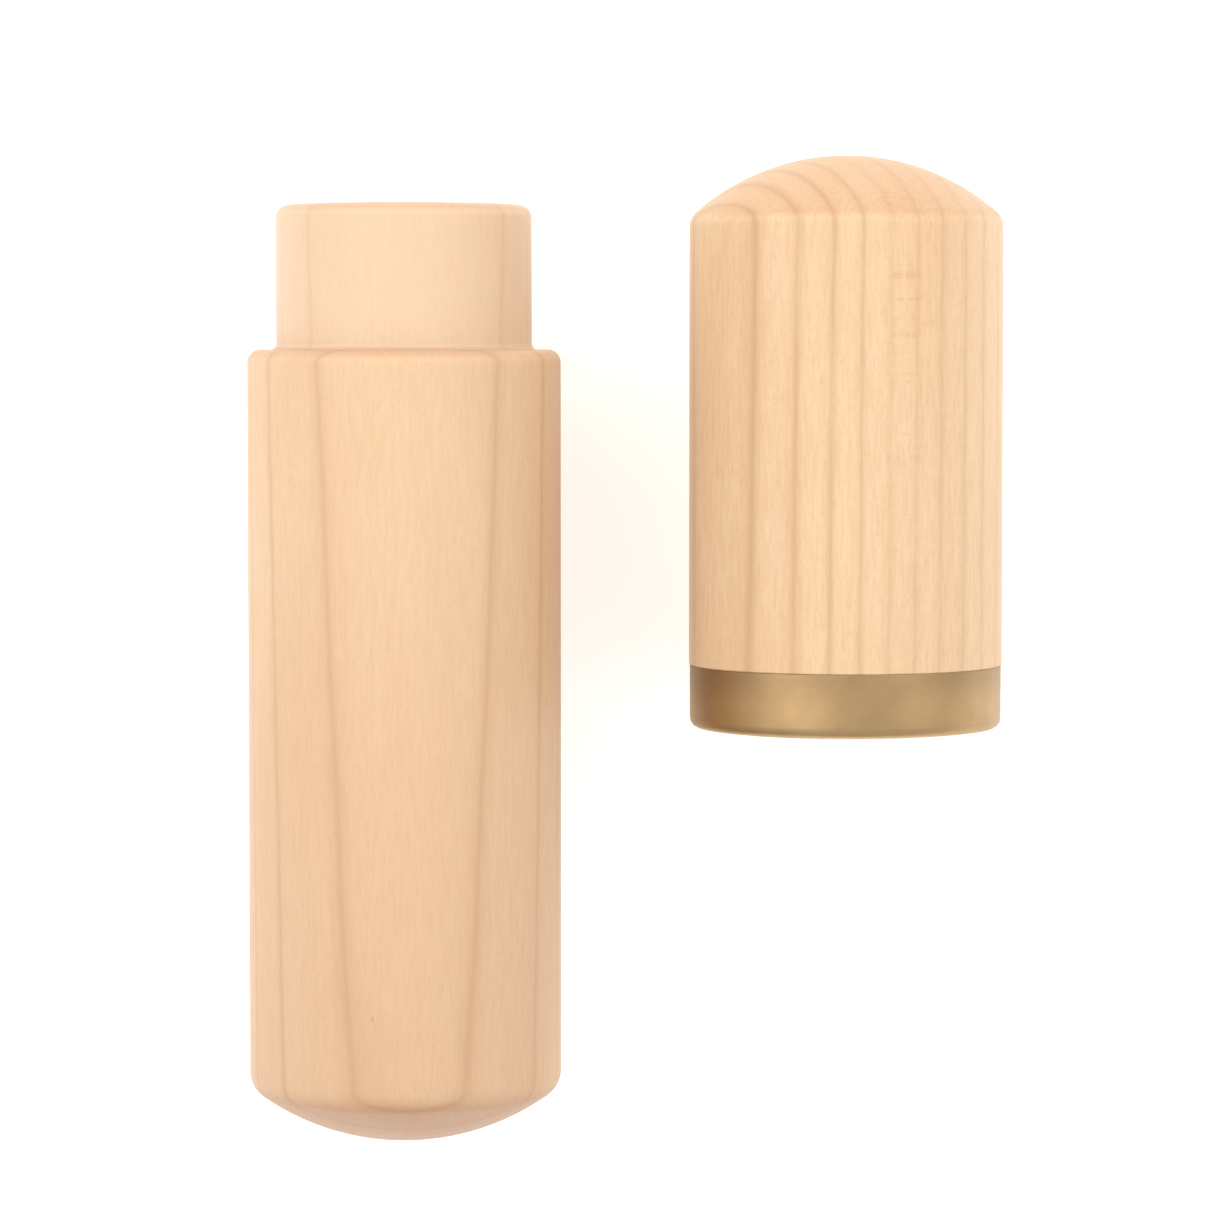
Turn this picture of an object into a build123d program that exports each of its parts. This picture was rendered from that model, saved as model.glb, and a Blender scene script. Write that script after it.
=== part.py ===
"""Travel salt and pepper shakers: two turned maple shakers that plug together end to end.

The tall shaker holds salt and has a tenon on its end. The short one holds pepper and has a
brass-banded socket that takes the tenon. Behind the tenon's end and on the socket's floor
there is the same throat: a brass collar, a silicone gasket and a screw-in perforated sifter.

The pair lies on a flat surface at Z = 0, with both axes along Y. The origin is on that
surface, at the middle of the pair. Millimetres, +Z up.
"""

import os
from math import asin, degrees, sqrt

from build123d import *

# ---- Driving dimensions ----
BODY_R = 20.0  # both shakers' outer radius
AXIS_GAP = 56.4  # between the two shakers' axes, as they lie
PAIR_LENGTH = 126.0  # from the salt shaker's domed bottom to the pepper shaker's domed top

# Salt shaker, the tall one
SALT_LENGTH = 119.7  # over everything
SALT_DOME_R = 31.9
TENON_R = 16.3
TENON_LENGTH = 18.4
TENON_END_ROUND = 1.6
TENON_ROOT_ROUND = 0.8
SHOULDER_ROUND = 1.6
SALT_CREASE_ROUND = 3.5  # where the side meets the dome

# Pepper shaker, the short one
PEPPER_LENGTH = 73.0
PEPPER_DOME_R = 29.1
PEPPER_CREASE_ROUND = 2.5
TENON_CLEARANCE = 0.04  # in radius: the tenon slides into the socket and stays by friction
SOCKET_R = TENON_R + TENON_CLEARANCE
SOCKET_DEPTH = TENON_LENGTH + 1.0
BAND_HEIGHT = 8.1
BAND_STEP = 0.1  # the band is this much smaller in radius than the wood
BAND_MOUTH_ROUND = 1.5
SOCKET_CHAMFER = TENON_ROOT_ROUND + 0.1  # clears the round at the tenon's root
TONGUE_R = 17.6  # the band's hidden tongue, glued into the wood
TONGUE_LENGTH = 6.0
EDGE_BREAK = 0.3  # sharp edges are broken by this much

# Throats: heights are measured outward from the face that each throat opens in
CHAMBER_R = 12.2
CHAMBER_END_WOOD = 11.0  # left between a chamber's floor and the dome's top
CHAMBER_FLOOR_ROUND = 4.0
COLLAR_R = 14.0
COLLAR_LENGTH = 11.0
SEAT_R = 13.3  # the recess that takes the gasket and the sifter's flange
SEAT_DEPTH = 2.8
GASKET_THICKNESS = 0.8
FLANGE_R = 13.15
FLANGE_THICKNESS = 1.6
SIFTER_RECESS = 0.3  # the sifter's face lies this far inside the throat's face
SKIRT_R = 12.1  # over the thread, which is left as a plain cylinder
SKIRT_WALL = 1.4
SKIRT_LENGTH = 6.3
RUNNING_GAP = 0.05  # between the gasket and each face beside it
GASKET_ROUND = 0.25
COIN_SLOT_LENGTH = 17.0
COIN_SLOT_WIDTH = 1.8
COIN_SLOT_DEPTH = 0.8

# Sifter holes: (ring radius, number of holes, angle of the first hole)
SALT_HOLE_R = 0.7
SALT_RINGS = [(4.2, 6, 30), (8.2, 12, 15)]
PEPPER_HOLE_R = 1.15
PEPPER_RINGS = [(4.6, 4, 45), (8.6, 6, 30)]

# ---- Places worked out from them ----
SALT_END_Y = SALT_LENGTH - PAIR_LENGTH / 2  # the tenon's end
SHOULDER_Y = SALT_END_Y - TENON_LENGTH
MOUTH_Y = PAIR_LENGTH / 2 - PEPPER_LENGTH  # the pepper shaker's open end
WOOD_START_Y = MOUTH_Y + BAND_HEIGHT
TONGUE_END_Y = WOOD_START_Y + TONGUE_LENGTH
SOCKET_FLOOR_Y = MOUTH_Y + SOCKET_DEPTH

# Each shaker's outline is drawn with X as the radius and Y along the row's own Y.
salt_lathe = Plane(origin=(-AXIS_GAP / 2, 0, BODY_R), x_dir=(1, 0, 0), z_dir=(0, 0, 1))
pepper_lathe = Plane(origin=(AXIS_GAP / 2, 0, BODY_R), x_dir=(1, 0, 0), z_dir=(0, 0, 1))
# Each throat is drawn with X as the radius and Y outward from its face, the way it pours.
salt_throat = Plane(
    origin=(-AXIS_GAP / 2, SALT_END_Y, BODY_R), x_dir=(1, 0, 0), z_dir=(0, 0, 1)
)
pepper_throat = Plane(
    origin=(AXIS_GAP / 2, SOCKET_FLOOR_Y, BODY_R), x_dir=(-1, 0, 0), z_dir=(0, 0, 1)
)
salt_chamber_depth = SALT_LENGTH - CHAMBER_END_WOOD
pepper_chamber_depth = PEPPER_LENGTH - SOCKET_DEPTH - CHAMBER_END_WOOD


def dome_height(dome_r):
    """How far a dome of this sphere radius stands out of a shaker's side."""
    return dome_r - sqrt(dome_r**2 - BODY_R**2)


def dome_arc(apex_y, dome_r, end):
    """Half the dome's outline, from its apex to the side. end is -1 or +1 along Y."""
    half_angle = degrees(asin(BODY_R / dome_r))
    start_angle = -90 if end < 0 else 90 - half_angle
    return CenterArc((0, apex_y - end * dome_r), dome_r, start_angle, half_angle)


def corner(section, radius, height):
    """The outline's corner nearest to a radius and a height."""
    return section.vertices().sort_by_distance((radius, height))[0]


def turn(section, plane, mode=Mode.ADD):
    """Revolve a section about its plane's Y axis, as on a lathe."""
    revolve(section, axis=Axis(plane.origin, plane.y_dir), mode=mode)


def bore_throat(plane, chamber_depth):
    """Cut a chamber with a rounded floor, and the counterbore that its collar sits in."""
    with BuildSketch(plane) as chamber:
        with BuildLine():
            Polyline(
                (0, 0),
                (COLLAR_R, 0),
                (COLLAR_R, -COLLAR_LENGTH),
                (CHAMBER_R, -COLLAR_LENGTH),
                (CHAMBER_R, -chamber_depth),
                (0, -chamber_depth),
                close=True,
            )
        make_face()
        fillet(corner(chamber, CHAMBER_R, -chamber_depth), CHAMBER_FLOOR_ROUND)
    turn(chamber.sketch, plane, Mode.SUBTRACT)


def make_collar(plane, name):
    """A brass bush with a bore for the sifter's skirt and a seat for its flange."""
    with BuildPart() as collar:
        with BuildSketch(plane) as ring:
            with BuildLine():
                Polyline(
                    (CHAMBER_R, -COLLAR_LENGTH),
                    (COLLAR_R, -COLLAR_LENGTH),
                    (COLLAR_R, 0),
                    (SEAT_R, 0),
                    (SEAT_R, -SEAT_DEPTH),
                    (CHAMBER_R, -SEAT_DEPTH),
                    close=True,
                )
            make_face()
            chamfer(corner(ring, SEAT_R, 0), EDGE_BREAK)
        turn(ring.sketch, plane)
    collar.part.label = name
    return collar


def make_gasket(plane, name):
    """A flat silicone ring under the sifter's flange."""
    low = RUNNING_GAP - SEAT_DEPTH
    high = low + GASKET_THICKNESS
    with BuildPart() as gasket:
        with BuildSketch(plane) as ring:
            with BuildLine():
                Polyline(
                    (CHAMBER_R, low), (FLANGE_R, low), (FLANGE_R, high), (CHAMBER_R, high),
                    close=True,
                )
            make_face()
            fillet(ring.vertices(), GASKET_ROUND)
        turn(ring.sketch, plane)
    gasket.part.label = name
    return gasket


def make_sifter(plane, name, hole_r, rings):
    """A flanged brass cup with holes through its face and a slot for a coin."""
    face_plane = Plane(
        origin=plane.origin - plane.y_dir * SIFTER_RECESS,
        x_dir=plane.x_dir,
        z_dir=plane.y_dir,
    )
    with BuildPart() as sifter:
        with BuildSketch(face_plane):
            Circle(FLANGE_R)
            for ring_r, count, first in rings:
                with PolarLocations(ring_r, count, start_angle=first):
                    Circle(hole_r, mode=Mode.SUBTRACT)
        extrude(amount=-FLANGE_THICKNESS)
        rim = sifter.edges().filter_by(GeomType.CIRCLE).sort_by(Edge.length)[-2:]
        fillet(rim.sort_by(Axis(plane.origin, plane.y_dir))[-1], EDGE_BREAK)
        with BuildSketch(face_plane.offset(-FLANGE_THICKNESS)):
            Circle(SKIRT_R)
            Circle(SKIRT_R - SKIRT_WALL, mode=Mode.SUBTRACT)
        extrude(amount=-SKIRT_LENGTH)
        with BuildSketch(face_plane):
            SlotOverall(COIN_SLOT_LENGTH, COIN_SLOT_WIDTH)
        extrude(amount=-COIN_SLOT_DEPTH, mode=Mode.SUBTRACT)
    sifter.part.label = name
    return sifter


# ---- Salt shaker ----
bottom_y = -PAIR_LENGTH / 2
salt_crease_y = bottom_y + dome_height(SALT_DOME_R)
with BuildPart() as salt_body:
    with BuildSketch(salt_lathe) as outline:
        with BuildLine():
            dome_arc(bottom_y, SALT_DOME_R, -1)
            Polyline(
                (BODY_R, salt_crease_y),
                (BODY_R, SHOULDER_Y),
                (TENON_R, SHOULDER_Y),
                (TENON_R, SALT_END_Y),
                (0, SALT_END_Y),
                (0, bottom_y),
            )
        make_face()
        fillet(corner(outline, BODY_R, salt_crease_y), SALT_CREASE_ROUND)
        fillet(corner(outline, BODY_R, SHOULDER_Y), SHOULDER_ROUND)
        fillet(corner(outline, TENON_R, SHOULDER_Y), TENON_ROOT_ROUND)
        fillet(corner(outline, TENON_R, SALT_END_Y), TENON_END_ROUND)
    turn(outline.sketch, salt_lathe)
    bore_throat(salt_throat, salt_chamber_depth)
salt_body.part.label = "salt_body"

# ---- Pepper shaker ----
top_y = PAIR_LENGTH / 2
pepper_crease_y = top_y - dome_height(PEPPER_DOME_R)
with BuildPart() as pepper_body:
    with BuildSketch(pepper_lathe) as outline:
        with BuildLine():
            dome_arc(top_y, PEPPER_DOME_R, 1)
            Polyline(
                (BODY_R, pepper_crease_y),
                (BODY_R, WOOD_START_Y),
                (TONGUE_R, WOOD_START_Y),
                (TONGUE_R, TONGUE_END_Y),
                (SOCKET_R, TONGUE_END_Y),
                (SOCKET_R, SOCKET_FLOOR_Y),
                (0, SOCKET_FLOOR_Y),
                (0, top_y),
            )
        make_face()
        fillet(corner(outline, BODY_R, pepper_crease_y), PEPPER_CREASE_ROUND)
        chamfer(corner(outline, BODY_R, WOOD_START_Y), EDGE_BREAK)
    turn(outline.sketch, pepper_lathe)
    bore_throat(pepper_throat, pepper_chamber_depth)
pepper_body.part.label = "pepper_body"

band_r = BODY_R - BAND_STEP
with BuildPart() as brass_band:
    with BuildSketch(pepper_lathe) as outline:
        with BuildLine():
            Polyline(
                (SOCKET_R, MOUTH_Y),
                (band_r, MOUTH_Y),
                (band_r, WOOD_START_Y),
                (TONGUE_R, WOOD_START_Y),
                (TONGUE_R, TONGUE_END_Y),
                (SOCKET_R, TONGUE_END_Y),
                close=True,
            )
        make_face()
        fillet(corner(outline, band_r, MOUTH_Y), BAND_MOUTH_ROUND)
        chamfer(corner(outline, band_r, WOOD_START_Y), EDGE_BREAK)
        chamfer(corner(outline, SOCKET_R, MOUTH_Y), SOCKET_CHAMFER)
    turn(outline.sketch, pepper_lathe)
brass_band.part.label = "brass_band"

# ---- Throats ----
throat_pieces = [
    make_collar(salt_throat, "salt_collar"),
    make_gasket(salt_throat, "salt_gasket"),
    make_sifter(salt_throat, "salt_sifter", SALT_HOLE_R, SALT_RINGS),
    make_collar(pepper_throat, "pepper_collar"),
    make_gasket(pepper_throat, "pepper_gasket"),
    make_sifter(pepper_throat, "pepper_sifter", PEPPER_HOLE_R, PEPPER_RINGS),
]

# ---- Export ----
os.makedirs("parts", exist_ok=True)
for piece in [salt_body, pepper_body, brass_band] + throat_pieces:
    export_step(piece.part, f"parts/{piece.part.label}.step")
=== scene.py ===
"""Looks of the travel salt and pepper shakers: turned maple, a satin brass band, brass sifters.

Everything is in metres, in the frame's own axes: the pair lies along Y on a pale floor at
Z = 0, and is seen from above. Sizes that the frame doesn't hold are named in millimetres.
"""

import math

import bmesh
import bpy
from mathutils import Matrix, Vector


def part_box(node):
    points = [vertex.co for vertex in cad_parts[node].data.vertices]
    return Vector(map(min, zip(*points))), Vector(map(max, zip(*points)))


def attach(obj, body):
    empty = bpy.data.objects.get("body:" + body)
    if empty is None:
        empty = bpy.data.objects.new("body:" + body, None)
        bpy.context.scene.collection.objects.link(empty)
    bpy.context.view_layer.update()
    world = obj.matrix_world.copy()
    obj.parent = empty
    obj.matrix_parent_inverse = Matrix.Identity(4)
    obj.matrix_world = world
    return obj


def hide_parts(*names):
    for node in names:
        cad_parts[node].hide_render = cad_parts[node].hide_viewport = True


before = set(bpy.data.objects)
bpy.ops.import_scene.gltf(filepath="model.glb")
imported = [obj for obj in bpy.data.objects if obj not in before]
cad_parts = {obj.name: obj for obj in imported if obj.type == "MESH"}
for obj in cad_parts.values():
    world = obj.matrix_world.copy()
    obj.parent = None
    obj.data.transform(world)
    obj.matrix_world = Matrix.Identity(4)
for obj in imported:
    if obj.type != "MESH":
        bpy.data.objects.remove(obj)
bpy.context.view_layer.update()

MM = 0.001

# ---- Sizes of the pieces, in millimetres, as the CAD has them ----
SALT_DOME_R, SALT_CREASE_ROUND = 31.9, 3.5
PEPPER_DOME_R, PEPPER_CREASE_ROUND = 29.1, 2.5
TENON_R, TENON_LENGTH = 16.3, 18.4
TENON_END_ROUND, TENON_ROOT_ROUND, SHOULDER_ROUND = 1.6, 0.8, 1.6
SOCKET_R, SOCKET_CHAMFER = 16.34, 0.9
BAND_HEIGHT, BAND_MOUTH_ROUND = 8.1, 1.5
TONGUE_R, TONGUE_LENGTH = 17.6, 6.0
CHAMBER_R, CHAMBER_END_WOOD, CHAMBER_FLOOR_ROUND = 12.2, 11.0, 4.0
COLLAR_R, COLLAR_LENGTH = 14.0, 11.0
SEAT_R, SEAT_DEPTH = 13.3, 2.8
FLANGE_THICKNESS, SIFTER_RECESS = 1.6, 0.3
SKIRT_INNER_R, SKIRT_LENGTH = 10.7, 6.3
COIN_SLOT_LENGTH, COIN_SLOT_WIDTH, COIN_SLOT_DEPTH = 17.0, 1.8, 0.8
SALT_HOLE_R, SALT_RINGS = 0.7, [(4.2, 6, 30), (8.2, 12, 15)]
PEPPER_HOLE_R, PEPPER_RINGS = 1.15, [(4.6, 4, 45), (8.6, 6, 30)]

# The threads are made here as real ridges; the pitch is the one that the joints are coupled at.
THREAD_PITCH, THREAD_DEPTH = 2.5, 0.46
THREAD_FADE, THREAD_ROW = 0.6, 0.125  # how far it fades at each end, and the rows' spacing
THREAD_ROOT_SHARE = 0.25  # of the pitch, flat at the root and as much at the crest
SKIRT_ROOT_R, COLLAR_ROOT_R = 11.62, 12.2

HAIRLINE = 0.12  # how far a crisp edge is broken
CHAMFER_EDGE, GASKET_EDGE, FLANGE_EDGE = 0.2, 0.3, 0.3
SEAT_LIP = 0.25  # the bevel round a collar's seat
COUNTERSINK = 0.18  # round each hole and the slot
TOOL_MARGIN = 0.5  # how far a cutting tool stands out of the sifter

ROUND_STEPS = 8  # points along each rounded corner
DOME_STEPS, CREASE_STEPS = 40, 12
SALT_SIDE_STEPS, TENON_SIDE_STEPS = 60, 14
PEPPER_SIDE_STEPS, CHAMBER_SIDE_STEPS = 40, 12
FLANGE_STEPS, SLOT_END_STEPS = 4, 12
SEGMENTS = 192  # round a shaker
FINE_SEGMENTS = 128  # round a small piece
HOLE_SEGMENTS = 28  # round a pour hole
ON_AXIS = 1e-6  # a smaller radius than this is a point on the axis
SHARP_ANGLE, PIERCED_SHARP_ANGLE = 35, 30  # degrees


# ---- Places, from the frame ----
class Turned:
    """A turned piece's axis, ends and radius, in millimetres, read from its node's box."""

    def __init__(self, node_name):
        low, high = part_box(node_name)
        self.x = (low[0] + high[0]) / 2 / MM
        self.z = (low[2] + high[2]) / 2 / MM
        self.low_y, self.high_y = low[1] / MM, high[1] / MM
        self.radius = (high[0] - low[0]) / 2 / MM


salt = Turned("salt_body")
pepper = Turned("pepper_body")
band = Turned("brass_band")
wood_start_y = band.low_y + BAND_HEIGHT
tongue_end_y = wood_start_y + TONGUE_LENGTH
shoulder_y = salt.high_y - TENON_LENGTH
socket_floor_y = Turned("pepper_collar").low_y


# ---- Camera: above the pair, square to it and leaning a little towards the domed bottom ----
CAMERA_HEIGHT = 0.600  # above the shakers' axes
CAMERA_FOOT = (-0.0023, 0.0402)
LOOK_Y = 0.0054
LENS, SENSOR_WIDTH = 139.2, 36  # millimetres
NEAR_CLIP = 0.01


def make_camera():
    camera = bpy.data.objects.new("camera", bpy.data.cameras.new("camera"))
    bpy.context.scene.collection.objects.link(camera)
    axes_z = salt.z * MM
    camera.location = (*CAMERA_FOOT, axes_z + CAMERA_HEIGHT)
    ahead = (Vector((CAMERA_FOOT[0], LOOK_Y, axes_z)) - camera.location).normalized()
    right = ahead.cross(Vector((0, 1, 0))).normalized()
    camera.rotation_mode = "QUATERNION"
    turned = Matrix((right, right.cross(ahead), -ahead)).transposed()
    camera.rotation_quaternion = turned.to_quaternion()
    camera.data.lens = LENS
    camera.data.sensor_width = SENSOR_WIDTH
    camera.data.clip_start = NEAR_CLIP
    bpy.context.scene.camera = camera


make_camera()


# ---- Mesh helpers. An outline is a list of (radius, y) points in millimetres. ----
def arc(centre, radius, start, end, steps=ROUND_STEPS):
    """Points along an arc in the (radius, y) plane, with the angles in degrees."""
    angles = [math.radians(start + (end - start) * i / steps) for i in range(steps + 1)]
    return [(centre[0] + radius * math.cos(a), centre[1] + radius * math.sin(a)) for a in angles]


def run(start, end, steps):
    """Evenly spaced points between two points, leaving both ends out."""
    return [
        tuple(a + (b - a) * i / steps for a, b in zip(start, end)) for i in range(1, steps)
    ]


def softened(corners):
    """An outline from (radius, y, round) corners. A round of 0 keeps the corner as it is."""
    points = []
    for i, (r, y, size) in enumerate(corners):
        here = Vector((r, y))
        if not size:
            points.append((r, y))
            continue
        before = (Vector(corners[i - 1][:2]) - here).normalized()
        after = (Vector(corners[(i + 1) % len(corners)][:2]) - here).normalized()
        steps = ROUND_STEPS // 2
        for step in range(steps + 1):
            t = step / steps
            bend = here + before * size * (1 - t) ** 2 + after * size * t**2
            points.append(tuple(bend))
    return points


def dome(apex_y, dome_r, side_r, crease_round, end):
    """The outline from a dome's apex to the shaker's side, with the crease between rounded.

    The crease's arc touches the side and the inside of the dome's sphere.
    """
    centre_y = apex_y - end * dome_r
    inner = dome_r - crease_round
    round_x = side_r - crease_round
    round_y = centre_y + end * math.sqrt(inner**2 - round_x**2)
    lean = math.degrees(math.asin(round_x / inner))
    cap = arc((0, centre_y), dome_r, end * 90, end * (90 - lean), DOME_STEPS)
    crease = arc((round_x, round_y), crease_round, end * (90 - lean), 0, CREASE_STEPS)
    return [(0, apex_y)] + cap[1:] + crease[1:]


def add_ring(shape, shaker, radius_at, y, segments=FINE_SEGMENTS):
    """A ring of vertices round a shaker's axis. radius_at gives the radius at each angle."""
    ring = []
    for i in range(segments):
        angle = 2 * math.pi * i / segments
        radius = radius_at(angle)
        place = (shaker.x + radius * math.cos(angle), y, shaker.z + radius * math.sin(angle))
        ring.append(shape.verts.new(Vector(place) * MM))
    return ring


def plain_rings(shape, shaker, outline, segments=FINE_SEGMENTS):
    """Rings at (radius, y) points, with a single vertex where the radius is 0."""
    rings = []
    for radius, y in outline:
        if radius < ON_AXIS:
            rings.append([shape.verts.new(Vector((shaker.x, y, shaker.z)) * MM)])
        else:
            rings.append(add_ring(shape, shaker, lambda angle, r=radius: r, y, segments))
    return rings


def join_rings(shape, rings, closed):
    """Faces between each ring of vertices and the next, with a fan where a ring is one point."""
    pairs = list(zip(rings, rings[1:]))
    if closed:
        pairs.append((rings[-1], rings[0]))
    for a, b in pairs:
        count = max(len(a), len(b))
        for i in range(count):
            j = (i + 1) % count
            if len(a) == 1:
                shape.faces.new((a[0], b[i], b[j]))
            elif len(b) == 1:
                shape.faces.new((a[i], b[0], a[j]))
            else:
                shape.faces.new((a[i], b[i], b[j], a[j]))


def finish_mesh(name, shape):
    """Write a bmesh to a smooth-shaded object, with its sharp edges left sharp."""
    bmesh.ops.recalc_face_normals(shape, faces=shape.faces)
    mesh = bpy.data.meshes.new(name)
    shape.to_mesh(mesh)
    shape.free()
    mesh.shade_smooth()
    mesh.set_sharp_from_angle(angle=math.radians(SHARP_ANGLE))
    piece = bpy.data.objects.new(name, mesh)
    bpy.context.scene.collection.objects.link(piece)
    return piece


def lathe(name, outline, shaker, segments, closed):
    """A surface of revolution about a shaker's axis.

    A closed outline makes a ring. An open one starts and ends on the axis.
    """
    shape = bmesh.new()
    join_rings(shape, plain_rings(shape, shaker, outline, segments), closed)
    return finish_mesh(name, shape)


# ---- Threads ----
def ridge(turns):
    """A thread's height, 0 to 1, at a place along its pitch: flat root, flank, flat crest."""
    rise = 1 - abs(2 * (turns % 1.0) - 1)
    return min(1.0, max(0.0, (rise - THREAD_ROOT_SHARE) / (1 - 2 * THREAD_ROOT_SHARE)))


def thread_rings(shape, shaker, start_y, end_y, root_r, depth_at):
    """Rings that carry a helical thread, which fades out at both ends.

    A ridge's place depends on the height and the angle alone, so a collar and a skirt stay in
    mesh at rest and while the coupled joints turn and lift the skirt.
    """
    rows = round(abs(end_y - start_y) / THREAD_ROW)
    rings = []
    for step in range(rows + 1):
        y = start_y + (end_y - start_y) * step / rows
        fade = min(1.0, abs(y - start_y) / THREAD_FADE, abs(y - end_y) / THREAD_FADE)

        def radius_at(angle, y=y, fade=fade):
            return root_r + fade * depth_at(ridge(y / THREAD_PITCH + angle / (2 * math.pi)))

        rings.append(add_ring(shape, shaker, radius_at, y))
    return rings


# ---- The wooden bodies ----
def throat_outline(face_y, way, chamber_depth):
    """The inside of a wooden body from its throat's face to the chamber's floor, on the axis."""
    collar_y = face_y - way * COLLAR_LENGTH
    floor_y = face_y - way * chamber_depth
    corner_y = floor_y + way * CHAMBER_FLOOR_ROUND
    corner = arc(
        (CHAMBER_R - CHAMBER_FLOOR_ROUND, corner_y), CHAMBER_FLOOR_ROUND, 0, -way * 90
    )
    return (
        [(COLLAR_R, face_y), (COLLAR_R, collar_y), (CHAMBER_R, collar_y)]
        + run((CHAMBER_R, collar_y), corner[0], CHAMBER_SIDE_STEPS)
        + corner
        + [(0, floor_y)]
    )


def make_salt_wood():
    side = salt.radius
    outer = dome(salt.low_y, SALT_DOME_R, side, SALT_CREASE_ROUND, -1)
    shoulder = arc((side - SHOULDER_ROUND, shoulder_y - SHOULDER_ROUND), SHOULDER_ROUND, 0, 90)
    root = arc(
        (TENON_R + TENON_ROOT_ROUND, shoulder_y + TENON_ROOT_ROUND), TENON_ROOT_ROUND, 270, 180
    )
    end_y = salt.high_y
    tenon_end = arc((TENON_R - TENON_END_ROUND, end_y - TENON_END_ROUND), TENON_END_ROUND, 0, 90)
    outline = (
        outer
        + run(outer[-1], shoulder[0], SALT_SIDE_STEPS)
        + shoulder
        + root
        + run(root[-1], tenon_end[0], TENON_SIDE_STEPS)
        + tenon_end
        + throat_outline(end_y, 1, salt.high_y - salt.low_y - CHAMBER_END_WOOD)
    )
    return lathe("salt_shaker_wood", outline, salt, SEGMENTS, closed=False)


def make_pepper_wood():
    side = pepper.radius
    outer = dome(pepper.high_y, PEPPER_DOME_R, side, PEPPER_CREASE_ROUND, 1)
    depth = pepper.high_y - socket_floor_y - CHAMBER_END_WOOD
    start_y = wood_start_y
    outline = (
        outer
        + run(outer[-1], (side, start_y + HAIRLINE), PEPPER_SIDE_STEPS)
        + [(side, start_y + HAIRLINE), (side - HAIRLINE, start_y), (TONGUE_R, start_y)]
        + [(TONGUE_R, tongue_end_y), (SOCKET_R, tongue_end_y)]
        + [(SOCKET_R, socket_floor_y)]
        + throat_outline(socket_floor_y, -1, depth)
    )
    return lathe("pepper_shaker_wood", outline, pepper, SEGMENTS, closed=False)


# ---- Band, collars and sifters ----
def make_band():
    """The band and the tongue that it is glued into the wood by, in one ring."""
    mouth_y = band.low_y
    outline = softened(
        [
            (SOCKET_R + SOCKET_CHAMFER, mouth_y, CHAMFER_EDGE),
            (band.radius, mouth_y, BAND_MOUTH_ROUND),
            (band.radius, wood_start_y, HAIRLINE),
            (TONGUE_R, wood_start_y, 0),
            (TONGUE_R, tongue_end_y, 0),
            (SOCKET_R, tongue_end_y, 0),
            (SOCKET_R, mouth_y + SOCKET_CHAMFER, CHAMFER_EDGE),
        ]
    )
    return lathe("brass_mouth_band", outline, pepper, SEGMENTS, closed=True)


def make_collar(name, shaker, face_y, way):
    """A brass bush: a plain outside, a seat for the gasket and a threaded bore."""
    seat_y = face_y - way * SEAT_DEPTH
    end_y = face_y - way * COLLAR_LENGTH
    outside = [
        (CHAMBER_R, end_y),
        (COLLAR_R, end_y),
        (COLLAR_R, face_y - way * HAIRLINE),
        (COLLAR_R - HAIRLINE, face_y),
        (SEAT_R + SEAT_LIP, face_y),
        (SEAT_R, face_y - way * SEAT_LIP),
        (SEAT_R, seat_y),
        (CHAMBER_R, seat_y),
    ]
    shape = bmesh.new()
    rings = plain_rings(shape, shaker, outside)
    rings += thread_rings(
        shape,
        shaker,
        seat_y - way * HAIRLINE,
        end_y + way * HAIRLINE,
        COLLAR_ROOT_R,
        lambda height: -THREAD_DEPTH * (1 - height),
    )
    join_rings(shape, rings, closed=True)
    return finish_mesh(name, shape)


def make_sifter_blank(name, shaker, face_y, way, flange_r):
    """A sifter before it is pierced: a flanged cup with a threaded skirt."""
    top_y = face_y - way * SIFTER_RECESS
    under_y = top_y - way * FLANGE_THICKNESS
    end_y = under_y - way * SKIRT_LENGTH
    shape = bmesh.new()
    rings = plain_rings(
        shape,
        shaker,
        [(0, under_y), (SKIRT_INNER_R, under_y), (SKIRT_INNER_R, end_y), (SKIRT_ROOT_R, end_y)],
    )
    rings += thread_rings(
        shape,
        shaker,
        end_y + way * HAIRLINE,
        under_y - way * HAIRLINE,
        SKIRT_ROOT_R,
        lambda height: THREAD_DEPTH * height,
    )
    rim = arc((flange_r - FLANGE_EDGE, 0), FLANGE_EDGE, 0, 90, FLANGE_STEPS)
    rings += plain_rings(
        shape,
        shaker,
        [(SKIRT_ROOT_R, under_y), (flange_r - HAIRLINE, under_y)]
        + [(flange_r, under_y + way * HAIRLINE)]
        + [(radius, top_y - way * (FLANGE_EDGE - rise)) for radius, rise in rim]
        + [(SKIRT_INNER_R, top_y), (0, top_y)],
    )
    join_rings(shape, rings, closed=False)
    return finish_mesh(name, shape)


def add_plug(shape, outline_at, levels):
    """A closed solid through levels of (growth, y). outline_at gives (x, z) points for a growth."""
    rings = []
    for growth, y in levels:
        rings.append([shape.verts.new(Vector((x, y, z)) * MM) for x, z in outline_at(growth)])
    join_rings(shape, rings, closed=False)
    shape.faces.new(rings[0])
    shape.faces.new(rings[-1])


def circle_points(x, z, radius):
    angles = [2 * math.pi * i / HOLE_SEGMENTS for i in range(HOLE_SEGMENTS)]
    return [(x + radius * math.cos(angle), z + radius * math.sin(angle)) for angle in angles]


def slot_points(x, z, length, width):
    """The outline of a round-ended slot along X."""
    reach = (length - width) / 2
    right = arc((x + reach, z), width / 2, -90, 90, SLOT_END_STEPS)
    left = arc((x - reach, z), width / 2, 90, 270, SLOT_END_STEPS)
    return right + left


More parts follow.
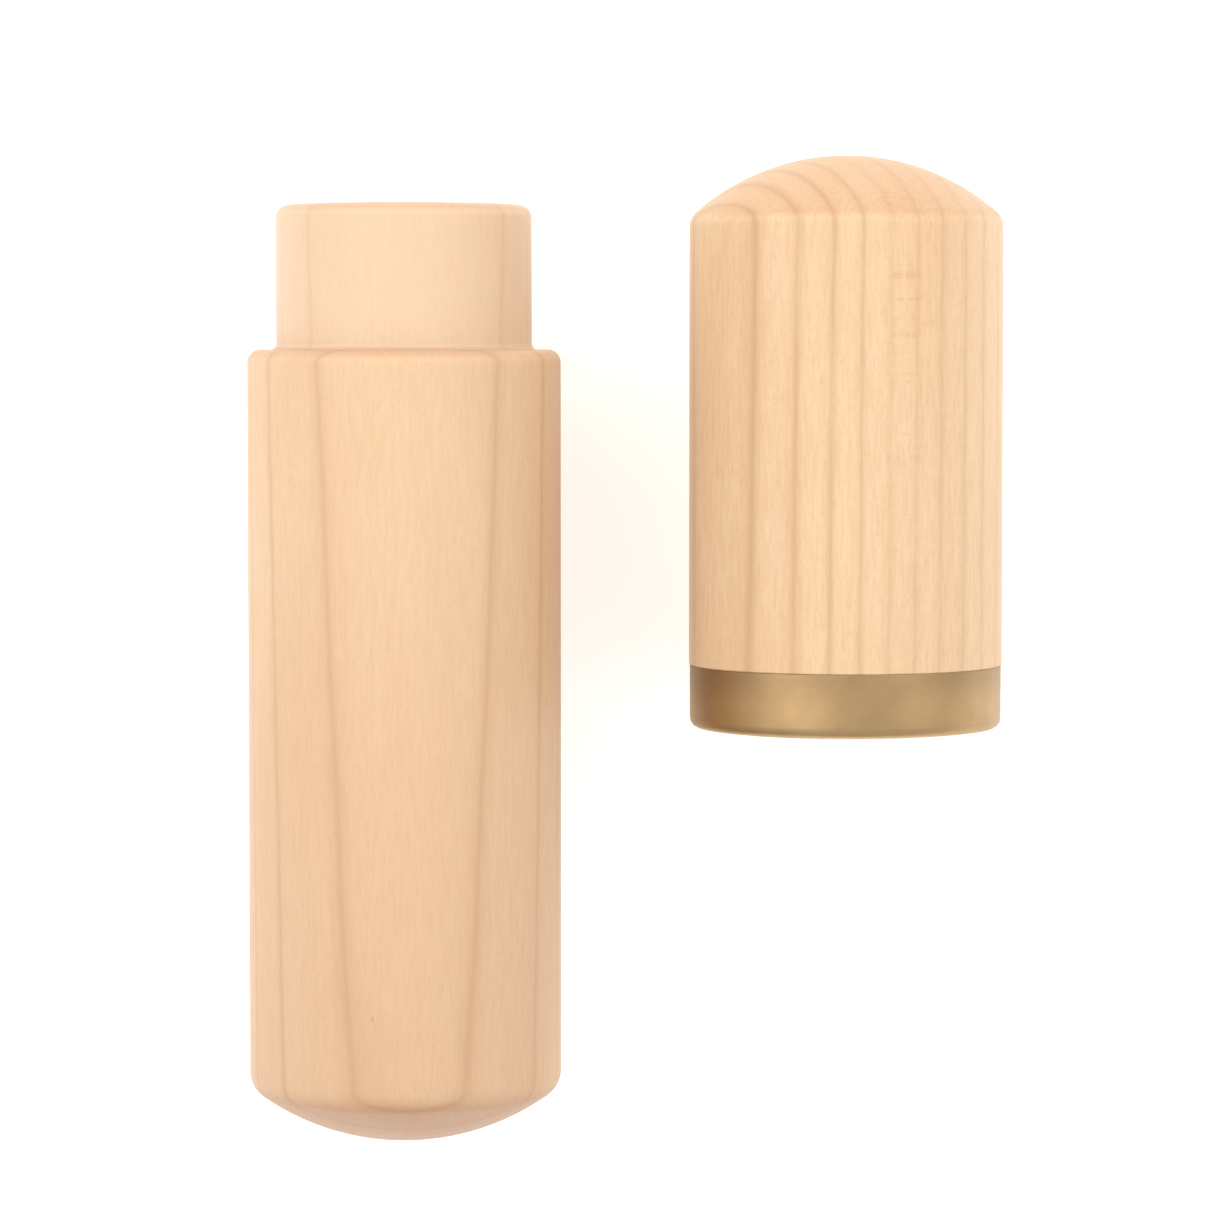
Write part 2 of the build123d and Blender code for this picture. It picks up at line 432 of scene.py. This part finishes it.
def pierce(blank, shaker, face_y, way, hole_r, rings):
    """Cut the holes and the coin slot, each with a small countersink, out of a blank."""
    top_y = face_y - way * SIFTER_RECESS
    above = top_y + way * TOOL_MARGIN
    below = top_y - way * (FLANGE_THICKNESS + TOOL_MARGIN)
    sink = [(0, top_y - way * COUNTERSINK), (COUNTERSINK, top_y), (COUNTERSINK, above)]
    hole_levels = [(0, below)] + sink
    slot_levels = [(0, top_y - way * COIN_SLOT_DEPTH)] + sink
    shape = bmesh.new()
    for ring_r, count, first in rings:
        for i in range(count):
            angle = math.radians(first + 360 * i / count)
            x = shaker.x + ring_r * math.cos(angle)
            z = shaker.z + ring_r * math.sin(angle)
            add_plug(shape, lambda grow, x=x, z=z: circle_points(x, z, hole_r + grow), hole_levels)

    def slot_at(grow):
        length, width = COIN_SLOT_LENGTH + 2 * grow, COIN_SLOT_WIDTH + 2 * grow
        return slot_points(shaker.x, shaker.z, length, width)

    add_plug(shape, slot_at, slot_levels)
    tool = finish_mesh(blank.name + "_tool", shape)
    cut = blank.modifiers.new("cut", "BOOLEAN")
    cut.operation, cut.solver, cut.object = "DIFFERENCE", "EXACT", tool
    depsgraph = bpy.context.evaluated_depsgraph_get()
    mesh = bpy.data.meshes.new_from_object(blank.evaluated_get(depsgraph), depsgraph=depsgraph)
    blank.modifiers.clear()
    blank.data = mesh
    mesh.name = blank.name
    bpy.data.objects.remove(tool)
    mesh.shade_smooth()
    mesh.set_sharp_from_angle(angle=math.radians(PIERCED_SHARP_ANGLE))
    return blank


def make_sifter(name, node_name, shaker, face_y, way, hole_r, rings):
    blank = make_sifter_blank(name, shaker, face_y, way, Turned(node_name).radius)
    return pierce(blank, shaker, face_y, way, hole_r, rings)


# ---- Gaskets ----
def make_gasket(name, node_name, shaker):
    """A flat ring with round edges, in its node's box."""
    box = Turned(node_name)
    outline = softened(
        [
            (CHAMBER_R, box.low_y, GASKET_EDGE),
            (box.radius, box.low_y, GASKET_EDGE),
            (box.radius, box.high_y, GASKET_EDGE),
            (CHAMBER_R, box.high_y, GASKET_EDGE),
        ]
    )
    return lathe(name, outline, shaker, FINE_SEGMENTS, closed=True)


# ---- Material helpers ----
MIX_SOCKETS, MIX_RESULT = (0, 6, 7), 2  # a Mix node's factor, A and B, and its result, in colour


def new_material(name):
    material = bpy.data.materials.new(name)
    material.use_nodes = True
    tree = material.node_tree
    return material, tree, tree.nodes["Principled BSDF"]


def set_or_link(tree, socket, value):
    """Feed a socket from another node's output, or give it a plain value."""
    if isinstance(value, bpy.types.NodeSocket):
        tree.links.new(value, socket)
    else:
        socket.default_value = value


def node(tree, kind, settings=None, **inputs):
    """A node with its settings, and with its inputs set or linked. Underscores stand for spaces."""
    made = tree.nodes.new(kind)
    for key, value in (settings or {}).items():
        setattr(made, key, value)
    for key, value in inputs.items():
        set_or_link(tree, made.inputs[key.replace("_", " ")], value)
    return made


def calculate(tree, operation, *values):
    """A Math node's output."""
    made = tree.nodes.new("ShaderNodeMath")
    made.operation = operation
    for socket, value in zip(made.inputs, values):
        set_or_link(tree, socket, value)
    return made.outputs[0]


def times(tree, a, b):
    return calculate(tree, "MULTIPLY", a, b)


def combine(tree, operation, *values):
    """A Vector Math node's output. SCALE takes a vector and a number."""
    made = tree.nodes.new("ShaderNodeVectorMath")
    made.operation = operation
    sockets = [made.inputs[0], made.inputs["Scale"]] if operation == "SCALE" else made.inputs
    for socket, value in zip(sockets, values):
        set_or_link(tree, socket, value)
    return made.outputs["Value" if operation in ("LENGTH", "DOT_PRODUCT") else "Vector"]


def smooth_between(tree, value, low, high):
    """0 at low and 1 at high, with a smooth step between. Low may be the greater of the two."""
    settings = {"interpolation_type": "SMOOTHSTEP"}
    made = node(tree, "ShaderNodeMapRange", settings, Value=value, From_Min=low, From_Max=high)
    return made.outputs["Result"]


def mix(tree, factor, a, b, blend="MIX"):
    """Colour a going to colour b as the factor goes from 0 to 1."""
    made = tree.nodes.new("ShaderNodeMix")
    made.data_type, made.blend_type = "RGBA", blend
    for index, value in zip(MIX_SOCKETS, (factor, a, b)):
        set_or_link(tree, made.inputs[index], (*value, 1) if isinstance(value, tuple) else value)
    return made.outputs[MIX_RESULT]


def tint(tree, amount, colour, tone):
    """A colour going to itself times a tone as the amount goes from 0 to 1."""
    return mix(tree, amount, colour, mix(tree, 1.0, colour, tone, "MULTIPLY"))


def noise(tree, vector, stretch, detail=2.0, roughness=0.5, output=0):
    """Noise in space, with the vector multiplied by a stretch first. Output 1 is in colour."""
    made = node(
        tree,
        "ShaderNodeTexNoise",
        Vector=combine(tree, "MULTIPLY", vector, stretch),
        Scale=1.0,
        Detail=detail,
        Roughness=roughness,
    )
    return made.outputs[output]


def ramp(tree, value, stops):
    """A colour ramp of grey values at (place, grey) stops."""
    made = node(tree, "ShaderNodeValToRGB", Fac=value)
    elements = made.color_ramp.elements
    while len(elements) > 1:
        elements.remove(elements[-1])
    first_place, first_grey = stops[0]
    elements[0].position = first_place
    elements[0].color = (first_grey, first_grey, first_grey, 1)
    for place, grey in stops[1:]:
        elements.new(place).color = (grey, grey, grey, 1)
    return made.outputs["Color"]


def add_relief(tree, shader, strength, distance, height):
    """Bump the surface by a height of 0 to 1, over a distance in metres."""
    bump = node(tree, "ShaderNodeBump", Strength=strength, Distance=distance, Height=height)
    tree.links.new(bump.outputs[0], shader.inputs["Normal"])


def local_millimetres(tree, shaker):
    """The object's own coordinates in millimetres, from the shaker's axis. Y stays along it."""
    coordinates = tree.nodes.new("ShaderNodeTexCoord").outputs["Object"]
    centre = (shaker.x * MM, 0, shaker.z * MM)
    return combine(tree, "SCALE", combine(tree, "SUBTRACT", coordinates, centre), 1 / MM)


# ---- Maple ----
# A stretch says how fine a noise is, per millimetre, across the grain and along Y.
WANDER_STRETCH = (0.05, 0.016, 0.05)
CLOUD_STRETCH, CLOUD_EDGES = (0.09, 0.022, 0.09), (0.35, 0.68)
FIBRE_STRETCH, FIBRE_EDGES = (2.3, 0.20, 2.3), (0.30, 0.72)
FINE_STRETCH, FINE_EDGES = (4.6, 0.85, 4.6), (0.50, 0.72)
ARC_R = 80.0  # where the arc round the pith is taken
UNEVEN_RATE = 0.11  # how fast the rings' width changes, per millimetre out
LINE_STRENGTH_STRETCH = (3.71, 0.02, 1.0)  # per ring, and per millimetre along Y
OUTER_LINE = 0.5  # a growth line's strength out of the strong rings
# Rungs per millimetre, how many of them they wander by, and how fast that changes.
RUNG_RATE, RUNG_JITTER, RUNG_JITTER_RATE = 0.30, 3.0, 0.22
RUNG_SHAPE = [(0, 0.0), (0.84, 0.0), (0.91, 1.0), (0.98, 0.0)]
RUNG_BREAK_STRETCH, RUNG_BREAK_EDGES = (0.8, 0.5, 0.8), (0.36, 0.62)
RADIAL_CUT = (0.14, 0.05)  # the surface's slope to the radius where rays start and are full
TENON_TONE_EDGE, TENON_TONE_SHARE = 0.4, 0.45
KNOT_STRETCH, KNOT_EDGES, KNOT_STRENGTH = (1.0, 0.45, 1.0), (0.24, 0.08), 0.45
END_GRAIN_EDGES = (0.20, 0.75)
WOOD_RELIEF, WOOD_RELIEF_STRENGTH = 0.00006, 0.35
WOOD_SPECULAR = 0.35


def from_pith(tree, across, along, lean, pith):
    """How far a place is from the pith's leaning line, in X or in Z."""
    return calculate(tree, "SUBTRACT", across, calculate(tree, "MULTIPLY_ADD", along, lean, pith))


def growth_lines(tree, out, along, look):
    """A thin dark line at each ring's edge, soft on both sides, and stronger in some rings."""
    one_way = {"noise_dimensions": "1D"}
    uneven = node(tree, "ShaderNodeTexNoise", one_way, W=out, Scale=UNEVEN_RATE, Detail=1.0)
    even_count = calculate(tree, "MULTIPLY_ADD", out, 1 / look["ring_gap"], look["phase"])
    counted = calculate(tree, "ADD", even_count, times(tree, uneven.outputs[0], look["uneven"]))
    line = ramp(tree, calculate(tree, "FRACT", counted), look["line_shape"])
    which = calculate(tree, "FLOOR", counted)
    strength_place = node(tree, "ShaderNodeCombineXYZ", X=which, Y=along).outputs[0]
    strength = noise(tree, strength_place, LINE_STRENGTH_STRETCH, 1)
    line = times(tree, line, smooth_between(tree, strength, *look["line_fade"]))
    inner = smooth_between(tree, out, *look["strong_within"])
    return times(tree, line, calculate(tree, "MULTIPLY_ADD", inner, 1 - OUTER_LINE, OUTER_LINE))


def ray_flecks(tree, flat, out, around, along, normal):
    """Rays: short sheets along the radius, seen as a ladder of thin broken bars.

    They show only where the surface itself runs along the radius.
    """
    jitter = noise(tree, along, (RUNG_JITTER_RATE,) * 3, 2, 0.6)
    jittered, even = times(tree, jitter, RUNG_JITTER), times(tree, along, RUNG_RATE)
    rungs = calculate(tree, "FRACT", calculate(tree, "ADD", jittered, even))
    radial = combine(tree, "NORMALIZE", flat)
    slope = calculate(tree, "ABSOLUTE", combine(tree, "DOT_PRODUCT", normal, radial))
    place = node(tree, "ShaderNodeCombineXYZ", X=out, Y=along, Z=around).outputs[0]
    broken = smooth_between(
        tree, noise(tree, place, RUNG_BREAK_STRETCH, 2, 0.5), *RUNG_BREAK_EDGES
    )
    ray = times(tree, ramp(tree, rungs, RUNG_SHAPE), smooth_between(tree, slope, *RADIAL_CUT))
    return times(tree, ray, broken)


def grain_colour(tree, moved, fibre, fine, line, ray, look):
    """The wood's colour, darkened by fibres, growth lines, rays and the finest grain in turn."""
    cloud = noise(tree, moved, CLOUD_STRETCH, 2, 0.5)
    colour = mix(tree, smooth_between(tree, cloud, *CLOUD_EDGES), look["pale"], look["warm"])
    marks = [
        (smooth_between(tree, fibre, *FIBRE_EDGES), look["fibre"]),
        (line, look["line"]),
        (ray, look["ray"]),
        (smooth_between(tree, fine, *FINE_EDGES), look["fine"]),
    ]
    for mark, strength in marks:
        colour = mix(tree, times(tree, mark, strength), colour, look["dark"])
    return colour


def local_tones(tree, colour, place, along, look):
    """What only some shakers have: a far end, a tenon or a pin knot of another tone."""
    if "far_end" in look:
        end_y, tone = look["far_end"]
        colour = tint(tree, smooth_between(tree, along, shoulder_y, end_y), colour, tone)
    if "tenon" in look:
        start_y, tone = look["tenon"]
        on_tenon = smooth_between(
            tree, along, start_y - TENON_TONE_EDGE, start_y + TENON_TONE_EDGE
        )
        colour = mix(tree, on_tenon, colour, mix(tree, TENON_TONE_SHARE, colour, tone))
    if "pin_knot" in look:
        spot = combine(tree, "SUBTRACT", place, look["pin_knot"])
        away = combine(tree, "LENGTH", combine(tree, "MULTIPLY", spot, KNOT_STRETCH))
        knot = times(tree, smooth_between(tree, away, *KNOT_EDGES), KNOT_STRENGTH)
        colour = mix(tree, knot, colour, look["knot"])
    return colour


def make_maple(name, shaker, look):
    """Solid maple: growth rings round a far pith, fibres, rays and end grain, all in space."""
    material, tree, shader = new_material(name)
    place = local_millimetres(tree, shaker)
    normal = tree.nodes.new("ShaderNodeTexCoord").outputs["Normal"]

    # The rings wander slowly. Their radius and arc are taken from the pith's leaning line.
    wander = combine(tree, "SUBTRACT", noise(tree, place, WANDER_STRETCH, 2, 0.5, 1), (0.5,) * 3)
    moved = combine(tree, "ADD", place, combine(tree, "SCALE", wander, look["wander"]))
    x, along, z = node(tree, "ShaderNodeSeparateXYZ", Vector=moved).outputs
    from_x = from_pith(tree, x, along, look["lean"][0], look["pith"][0])
    from_z = from_pith(tree, z, along, look["lean"][1], look["pith"][1])
    flat = node(tree, "ShaderNodeCombineXYZ", X=from_x, Z=from_z).outputs[0]
    out = combine(tree, "LENGTH", flat)
    around = times(tree, calculate(tree, "ARCTAN2", from_z, from_x), ARC_R)

    fibre = noise(tree, moved, FIBRE_STRETCH, 3, 0.65)
    fine = noise(tree, moved, FINE_STRETCH, 2, 0.6)
    line = growth_lines(tree, out, along, look)
    ray = ray_flecks(tree, flat, out, around, along, normal)
    colour = grain_colour(tree, moved, fibre, fine, line, ray, look)
    colour = local_tones(tree, colour, place, along, look)

    # End grain drinks more oil, so it is darker wherever the surface faces along the axis.
    facing = calculate(tree, "ABSOLUTE", combine(tree, "DOT_PRODUCT", normal, (0, 1, 0)))
    end_grain = times(tree, smooth_between(tree, facing, *END_GRAIN_EDGES), look["end_grain"])
    colour = tint(tree, end_grain, colour, look["end_tone"])
    tree.links.new(colour, shader.inputs["Base Color"])

    # A fine-sanded surface: the fibres stand up to about 0.02 mm proud and are a little duller
    # than the lines.
    height = calculate(tree, "ADD", times(tree, fibre, 0.6), times(tree, fine, 0.4))
    add_relief(tree, shader, WOOD_RELIEF_STRENGTH, WOOD_RELIEF, height)
    rough = calculate(tree, "MULTIPLY_ADD", fibre, 0.14, look["roughness"])
    rough = calculate(tree, "MULTIPLY_ADD", line, -0.05, rough)
    tree.links.new(rough, shader.inputs["Roughness"])
    shader.inputs["Specular IOR Level"].default_value = WOOD_SPECULAR
    return material


# Places are in millimetres, with X and Z from the shaker's axis and Y in the frame. A line's shape
# goes from one ring's edge to the next. The far end's tone stands partly for light that falls off
# towards it.
SALT_LOOK = {
    "pith": (-4.1, -58.9),
    "lean": (0.004, -0.020),
    "wander": 0.6,
    "ring_gap": 5.1,
    "phase": 0.847,
    "strong_within": (90.0, 80.0),
    "uneven": 0.0,
    "line_fade": (0.05, 0.35),
    "line_shape": [
        (0, 0.45), (0.06, 0.10), (0.16, 0.0), (0.80, 0.0), (0.91, 0.35), (0.965, 1.0), (1, 0.45)
    ],
    "pale": (0.525, 0.362, 0.226),
    "warm": (0.510, 0.338, 0.204),
    "dark": (0.385, 0.228, 0.118),
    "far_end": (-60.0, (0.93, 0.89, 0.89)),
    "fibre": 0.19,
    "line": 0.58,
    "ray": 0.14,
    "fine": 0.17,
    "end_grain": 0.9,
    "end_tone": (0.88, 0.81, 0.78),
    "tenon": (shoulder_y, (0.54, 0.40, 0.29)),
    "pin_knot": (-3.3, -44.9, 19.7),
    "knot": (0.30, 0.16, 0.08),
    "roughness": 0.46,
}
PEPPER_LOOK = {
    "pith": (-74.0, 46.0),
    "lean": (0.006, 0.0),
    "wander": 1.0,
    "ring_gap": 3.55,
    "phase": 0.458,
    "strong_within": (84.0, 72.0),
    "uneven": 0.3,
    "line_fade": (0.10, 0.50),
    "line_shape": [
        (0, 0.55), (0.10, 0.20), (0.24, 0.0), (0.60, 0.02), (0.80, 0.30), (0.93, 1.0), (1, 0.55)
    ],
    "pale": (0.550, 0.388, 0.242),
    "warm": (0.534, 0.358, 0.212),
    "dark": (0.390, 0.230, 0.116),
    "fibre": 0.27,
    "line": 0.80,
    "ray": 0.40,
    "fine": 0.26,
    "end_grain": 0.9,
    "end_tone": (0.86, 0.79, 0.73),
    "roughness": 0.44,
}


# ---- Brass ----
BAND_TONES = ((0.392, 0.260, 0.130), (0.336, 0.220, 0.108))  # clean and tarnished
FITTING_TONES = ((0.560, 0.385, 0.180), (0.47, 0.315, 0.145))
BAND_ROUGHNESS, BAND_GROOVE = 0.28, 0.35
FITTING_ROUGHNESS, FITTING_GROOVE = 0.26, 0.30
MARK_ARC_RATE = 1.6  # per radian round the axis
MARK_STRETCH, MARK_EDGES, MARK_STRENGTH = (1.0, 11.0, 11.0), (0.45, 0.75), 0.35
COARSE_STRETCH = (0.7, 2.6, 2.6)
TARNISH_STRETCH, TARNISH_EDGES = (0.16, 0.16, 0.16), (0.30, 0.75)
JOINT_FADE, JOINT_TONE = 5.0, (0.80, 0.80, 0.82)
BRASS_RELIEF, BRASS_ANISOTROPY = 0.00004, 0.55


def make_brass(name, shaker, tones, roughness, groove, joint_y=None):
    """Brass with fine marks round the shaker's axis, and darker towards a joint with wood.

    The darkening stands partly for light that falls off there.
    """
    material, tree, shader = new_material(name)
    clean, tarnished = tones
    place = local_millimetres(tree, shaker)
    x, along, z = node(tree, "ShaderNodeSeparateXYZ", Vector=place).outputs
    out = combine(tree, "LENGTH", combine(tree, "MULTIPLY", place, (1, 0, 1)))
    # The marks are long round the axis and narrow across it, along Y or out from the axis.
    around = times(tree, calculate(tree, "ARCTAN2", z, x), MARK_ARC_RATE)
    mark_place = node(tree, "ShaderNodeCombineXYZ", X=around, Y=along, Z=out).outputs[0]
    marks = noise(tree, mark_place, MARK_STRETCH, 3, 0.65)
    coarse = noise(tree, mark_place, COARSE_STRETCH, 2, 0.5)
    cloud = noise(tree, place, TARNISH_STRETCH, 3, 0.55)
    colour = mix(tree, smooth_between(tree, cloud, *TARNISH_EDGES), clean, tarnished)
    marked = times(tree, smooth_between(tree, marks, *MARK_EDGES), MARK_STRENGTH)
    colour = mix(tree, marked, colour, tarnished)
    if joint_y is not None:
        near_joint = smooth_between(tree, along, joint_y - JOINT_FADE, joint_y)
        colour = tint(tree, near_joint, colour, JOINT_TONE)
    tree.links.new(colour, shader.inputs["Base Color"])
    shader.inputs["Metallic"].default_value = 1.0
    shader.inputs["Anisotropic"].default_value = BRASS_ANISOTROPY
    rough = calculate(tree, "MULTIPLY_ADD", marks, 0.16, roughness)
    rough = calculate(tree, "MULTIPLY_ADD", cloud, 0.08, rough)
    tree.links.new(rough, shader.inputs["Roughness"])
    height = calculate(tree, "MULTIPLY_ADD", coarse, 0.6, marks)
    add_relief(tree, shader, groove, BRASS_RELIEF, height)
    tangent = node(tree, "ShaderNodeTangent", {"direction_type": "RADIAL", "axis": "Y"})
    tree.links.new(tangent.outputs[0], shader.inputs["Tangent"])
    return material


# ---- Silicone ----
SILICONE_TONES = ((0.74, 0.72, 0.68), (0.84, 0.83, 0.80))
MOTTLE_STRETCH = (1.4, 1.4, 1.4)
SILICONE_RELIEF, SILICONE_RELIEF_STRENGTH = 0.00005, 0.2
SILICONE_DEPTH, SILICONE_MILK = 0.001, 0.25  # how far light goes in, and how much of it does


def make_silicone(name, shaker):
    """Milky silicone with a faint moulded mottle."""
    material, tree, shader = new_material(name)
    mottle = noise(tree, local_millimetres(tree, shaker), MOTTLE_STRETCH, 3, 0.5)
    tree.links.new(mix(tree, mottle, *SILICONE_TONES), shader.inputs["Base Color"])
    rough = calculate(tree, "MULTIPLY_ADD", mottle, 0.15, 0.38)
    tree.links.new(rough, shader.inputs["Roughness"])
    shader.inputs["Subsurface Weight"].default_value = SILICONE_MILK
    shader.inputs["Subsurface Scale"].default_value = SILICONE_DEPTH
    add_relief(tree, shader, SILICONE_RELIEF_STRENGTH, SILICONE_RELIEF, mottle)
    return material


# ---- Make the pieces and put them in the frame ----
THROATS = [  # word, shaker, the throat's face, the way it faces along Y, and its pour holes
    ("salt", salt, salt.high_y, 1, SALT_HOLE_R, SALT_RINGS),
    ("pepper", pepper, socket_floor_y, -1, PEPPER_HOLE_R, PEPPER_RINGS),
]


def place_piece(piece, material, body, cad_node):
    piece.data.materials.clear()
    piece.data.materials.append(material)
    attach(piece, body)
    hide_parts(cad_node)


salt_maple = make_maple("salt_maple", salt, SALT_LOOK)
pepper_maple = make_maple("pepper_maple", pepper, PEPPER_LOOK)
band_brass = make_brass(
    "band_brass", pepper, BAND_TONES, BAND_ROUGHNESS, BAND_GROOVE, wood_start_y
)
place_piece(make_salt_wood(), salt_maple, "salt_shaker", "salt_body")
place_piece(make_pepper_wood(), pepper_maple, "pepper_shaker", "pepper_body")
place_piece(make_band(), band_brass, "pepper_shaker", "brass_band")

for word, shaker, face_y, way, hole_r, rings in THROATS:
    brass = make_brass(
        word + "_fitting_brass", shaker, FITTING_TONES, FITTING_ROUGHNESS, FITTING_GROOVE
    )
    collar = make_collar(word + "_threaded_collar", shaker, face_y, way)
    place_piece(collar, brass, word + "_shaker", word + "_collar")
    gasket = make_gasket(word + "_seal_ring", word + "_gasket", shaker)
    silicone = make_silicone(word + "_silicone", shaker)
    place_piece(gasket, silicone, word + "_seal", word + "_gasket")
    node_name = word + "_sifter"
    sifter = make_sifter(word + "_screw_sifter", node_name, shaker, face_y, way, hole_r, rings)
    place_piece(sifter, brass, word + "_cap", node_name)


# ---- Floor, light and surroundings ----
FLOOR_HALF, FLOOR_CELLS = 1.6, 8
FLOOR_TONES = ((0.95, 0.95, 0.95), (0.97, 0.97, 0.97))
FLOOR_TOOTH_STRETCH = (900, 900, 900)
FLOOR_ROUGHNESS, FLOOR_SPECULAR, FLOOR_GLOW = 0.8, 0.2, 0.30
STUDIO_WHITE, LAMP_WHITE = (1.0, 0.995, 0.985, 1), (1.0, 0.985, 0.96)
STUDIO_LEVEL, STUDIO_SLOPE = 1.14, 0.04  # the slope makes it brighter towards +Y
BRIGHT_SIDES = [  # direction, how narrow it is and how much brighter
    ((-0.70, -0.05, 0.71), 0.86, 1.35),
    ((0.84, -0.05, 0.54), 0.88, 0.40),
]
WALL_LEVEL, WALL_EDGES = 0.55, (-0.05, 0.40)  # how dull walls are, and how high they fade out
SOFTBOX_SIZE = 0.45
SOFTBOXES = [  # name, place and power
    ("left_softbox", (-0.32, 0.30, 0.44), 1.8),
    ("right_softbox", (0.34, 0.30, 0.42), 1.7),
]


def make_floor():
    """A wide pale sheet that the pair lies on, glowing a little like a light table."""
    shape = bmesh.new()
    bmesh.ops.create_grid(
        shape, x_segments=FLOOR_CELLS, y_segments=FLOOR_CELLS, size=FLOOR_HALF
    )
    floor = finish_mesh("floor", shape)
    material, tree, shader = new_material("floor_paper")
    place = tree.nodes.new("ShaderNodeTexCoord").outputs["Object"]
    tooth = noise(tree, place, FLOOR_TOOTH_STRETCH, 3, 0.6)
    tree.links.new(mix(tree, tooth, *FLOOR_TONES), shader.inputs["Base Color"])
    shader.inputs["Roughness"].default_value = FLOOR_ROUGHNESS
    shader.inputs["Specular IOR Level"].default_value = FLOOR_SPECULAR
    shader.inputs["Emission Color"].default_value = (1.0, 1.0, 1.0, 1)
    shader.inputs["Emission Strength"].default_value = FLOOR_GLOW
    floor.data.materials.append(material)


def make_surroundings():
    """A white studio: soft everywhere, with a bright side, a weaker one and duller walls."""
    world = bpy.data.worlds.new("studio")
    world.use_nodes = True
    bpy.context.scene.world = world
    tree = world.node_tree
    towards = tree.nodes.new("ShaderNodeTexCoord").outputs["Generated"]
    along = combine(tree, "DOT_PRODUCT", towards, (0, 1, 0))
    level = calculate(tree, "MULTIPLY_ADD", along, STUDIO_SLOPE, STUDIO_LEVEL)
    for direction, spread, gain in BRIGHT_SIDES:
        facing = combine(tree, "DOT_PRODUCT", towards, direction)
        inside = smooth_between(tree, facing, spread, 1.0)
        level = calculate(tree, "MULTIPLY_ADD", inside, gain, level)
    upward = combine(tree, "DOT_PRODUCT", towards, (0, 0, 1))
    above_walls = smooth_between(tree, upward, *WALL_EDGES)
    walls = calculate(tree, "MULTIPLY_ADD", above_walls, 1 - WALL_LEVEL, WALL_LEVEL)
    background = tree.nodes["Background"]
    tree.links.new(times(tree, level, walls), background.inputs["Strength"])
    background.inputs["Color"].default_value = STUDIO_WHITE


def make_softbox(name, place, power):
    """A soft light aimed at the pair."""
    data = bpy.data.lights.new(name, "AREA")
    data.shape, data.size, data.size_y = "RECTANGLE", SOFTBOX_SIZE, SOFTBOX_SIZE
    data.energy = power
    data.color = LAMP_WHITE
    light = bpy.data.objects.new(name, data)
    light.location = place
    light.rotation_mode = "QUATERNION"
    light.rotation_quaternion = (-light.location).to_track_quat("-Z", "Y")
    bpy.context.scene.collection.objects.link(light)


make_floor()
make_surroundings()
for name, place, power in SOFTBOXES:
    make_softbox(name, place, power)
bpy.context.scene.view_settings.view_transform = "Standard"
